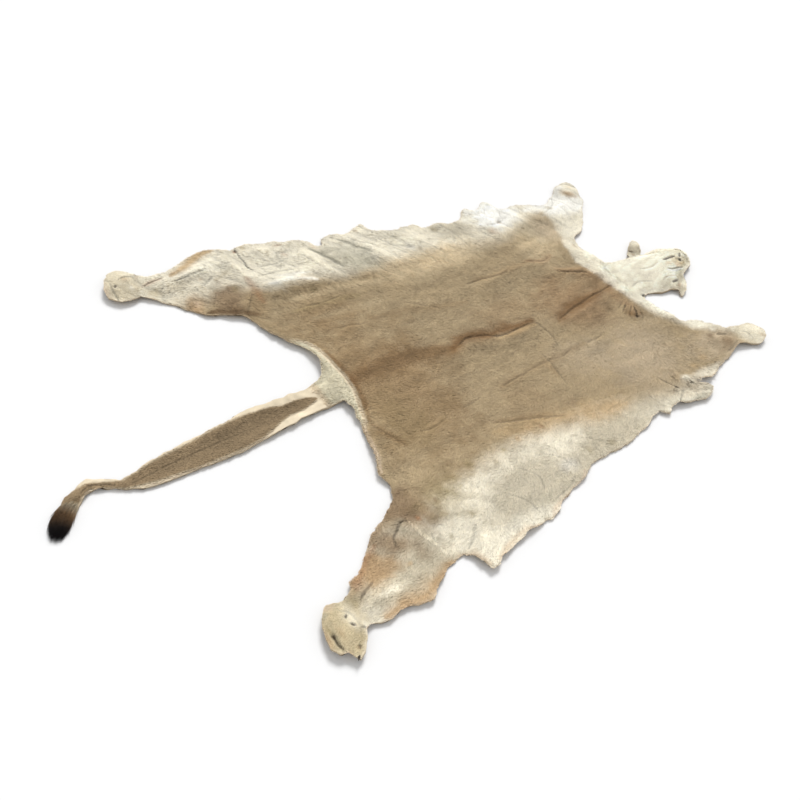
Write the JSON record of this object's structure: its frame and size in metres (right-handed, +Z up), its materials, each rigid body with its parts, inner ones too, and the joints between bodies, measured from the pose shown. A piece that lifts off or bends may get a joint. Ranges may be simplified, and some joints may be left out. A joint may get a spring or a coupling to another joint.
{
  "type": "lion skin",
  "caption": "Dried skin of a lioness laid out flat, fur side up, with empty head, ears, spread legs, paws and a slit tail ending in a dark brush.",
  "frame": {"origin": "middle of the part's box, at floor level", "axes": "+Y along the spine towards the nose, +X towards the animal's right side, +Z up through the fur"},
  "size_m": [1.6612, 2.5328, 0.0477],
  "materials": {
    "fur_hide": "matte short fur, tawny on the back, cream at belly, head and paws",
    "tuft_hair": "coarse black-brown hair"
  },
  "bodies": {
    "root": {"pelt": "fur_hide", "tail_tuft": "tuft_hair"}
  },
  "joints": []
}
